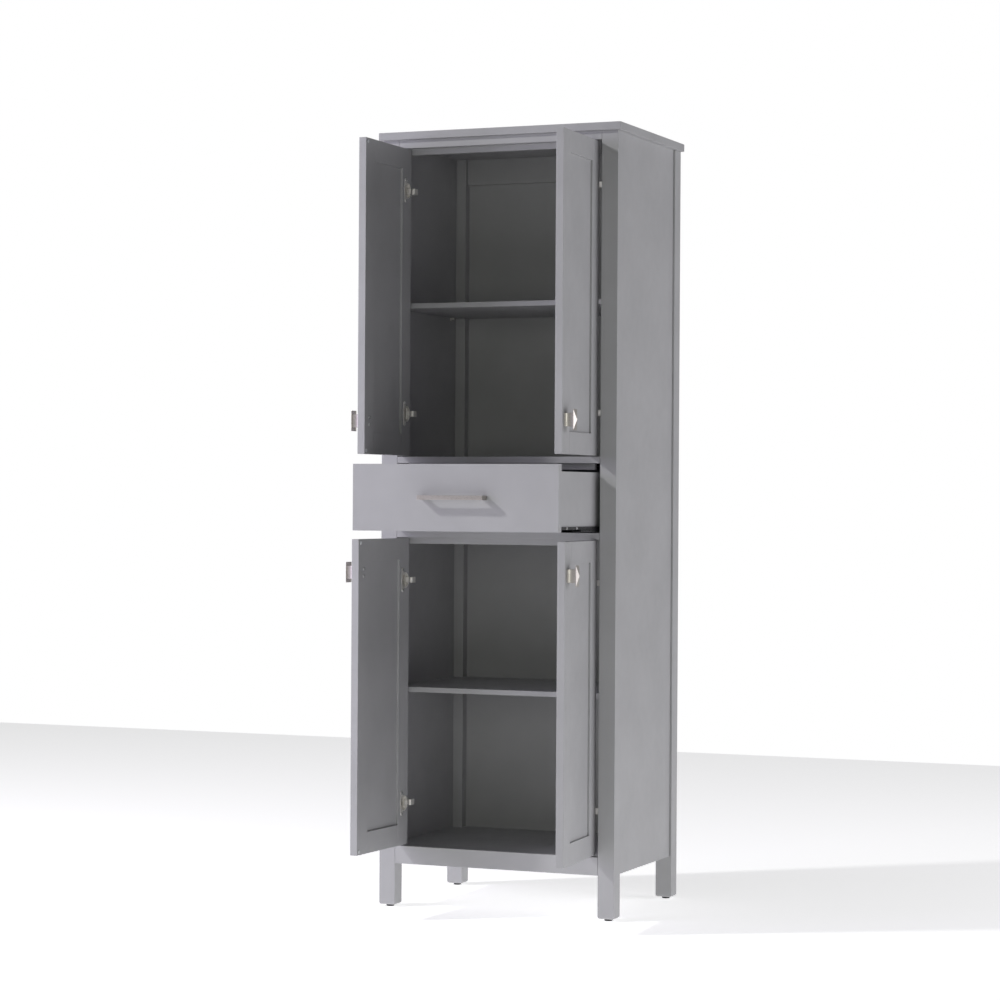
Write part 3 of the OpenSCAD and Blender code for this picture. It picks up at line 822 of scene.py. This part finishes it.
floorLook = {"size": 8.0, "colour": (0.93, 0.93, 0.93), "roughness": 0.8, "glow": 0.62}
clearPicks()
bpy.ops.mesh.primitive_plane_add(size=floorLook["size"], location=(0, 0, 0))
floor = bpy.context.object
floor.name = "studioFloor"
floorMaterial, nodes, links, shader, place = newMaterial("StudioFloor")
shader.inputs["Base Color"].default_value = (*floorLook["colour"], 1)
shader.inputs["Roughness"].default_value = floorLook["roughness"]
shader.inputs["Emission Color"].default_value = (1, 1, 1, 1)
shader.inputs["Emission Strength"].default_value = floorLook["glow"]
floor.data.materials.append(floorMaterial)

lightLook = {
    "aim": (0.0, 0.0, 0.95),
    "world": 0.02,
    "worldColour": (0.94, 0.985, 1.0),
    "key": {"place": (-3.78, -2.70, 4.07), "size": (0.28, 0.28), "power": 148,
            "colour": (1.0, 1.0, 1.0)},
    "left": {"place": (-3.2, -2.6, 1.6), "size": (2.4, 2.6), "power": 62,
             "colour": (0.81, 0.75, 1.0)},
    "right": {"place": (4.2, 0.9, 1.4), "size": (2.6, 2.6), "power": 70,
              "colour": (0.96, 0.95, 1.0)},
    "front": {"place": (1.3, -6.4, 1.3), "size": (2.0, 2.0), "power": 35,
              "colour": (0.97, 1.0, 0.90)},
    "surround": 0.36,  # brightness that polished parts mirror
}


def addLight(name, look, aim):
    data = bpy.data.lights.new(name, "AREA")
    data.shape = "RECTANGLE"
    data.size, data.size_y = look["size"]
    data.energy = look["power"]
    data.color = look["colour"]
    lamp = bpy.data.objects.new(name, data)
    bpy.context.scene.collection.objects.link(lamp)
    lamp.location = look["place"]
    lamp.rotation_euler = (Vector(aim) - Vector(look["place"])).to_track_quat("-Z", "Y").to_euler()
    lamp.visible_camera = False
    return lamp


for name in ("key", "left", "right", "front"):
    addLight(name + "Light", lightLook[name], lightLook["aim"])

world = bpy.data.worlds.new("StudioWorld")
bpy.context.scene.world = world
world.use_nodes = True
nodes, links = world.node_tree.nodes, world.node_tree.links
backdrop = nodes["Background"]
backdrop.inputs["Color"].default_value = (*lightLook["worldColour"], 1)
backdrop.inputs["Strength"].default_value = lightLook["world"]
seen = nodes.new("ShaderNodeBackground")
seen.inputs["Color"].default_value = (1, 1, 1, 1)
seen.inputs["Strength"].default_value = 1.0
rays = nodes.new("ShaderNodeLightPath")
chooser = nodes.new("ShaderNodeMixShader")
links.new(rays.outputs["Is Camera Ray"], chooser.inputs["Fac"])
links.new(backdrop.outputs["Background"], chooser.inputs[1])
links.new(seen.outputs["Background"], chooser.inputs[2])
mirrored = nodes.new("ShaderNodeBackground")
mirrored.inputs["Color"].default_value = (1, 1, 1, 1)
mirrored.inputs["Strength"].default_value = lightLook["surround"]
gloss = nodes.new("ShaderNodeMixShader")
links.new(rays.outputs["Is Glossy Ray"], gloss.inputs["Fac"])
links.new(chooser.outputs["Shader"], gloss.inputs[1])
links.new(mirrored.outputs["Background"], gloss.inputs[2])
links.new(gloss.outputs["Shader"], nodes["World Output"].inputs["Surface"])

bpy.context.scene.view_settings.view_transform = "Standard"

cameraLook = {
    "place": (2.4939, -5.9926, 0.9692),
    "yaw": 22.805,  # degrees, from looking along +Y towards -X
    "pitch": -0.053,
    "roll": 0.347,
    "lens": 99.32,
    "sensor": 36,
    "clipEnd": 120,
}


def addCamera(look):
    yaw, pitch, roll = (math.radians(look[k]) for k in ("yaw", "pitch", "roll"))
    ahead = Vector((-math.sin(yaw) * math.cos(pitch), math.cos(yaw) * math.cos(pitch), math.sin(pitch)))
    right = ahead.cross(Vector((0, 0, 1))).normalized()
    up = right.cross(ahead)
    rolledRight = math.cos(roll) * right + math.sin(roll) * up
    rolledUp = math.cos(roll) * up - math.sin(roll) * right
    data = bpy.data.cameras.new("studioCamera")
    data.sensor_width = look["sensor"]
    data.lens = look["lens"]
    data.clip_end = look["clipEnd"]
    camera = bpy.data.objects.new("studioCamera", data)
    bpy.context.scene.collection.objects.link(camera)
    turn = Matrix((rolledRight, rolledUp, -ahead)).transposed()
    camera.matrix_world = Matrix.Translation(look["place"]) @ turn.to_4x4()
    bpy.context.scene.camera = camera


addCamera(cameraLook)
print("studio set")
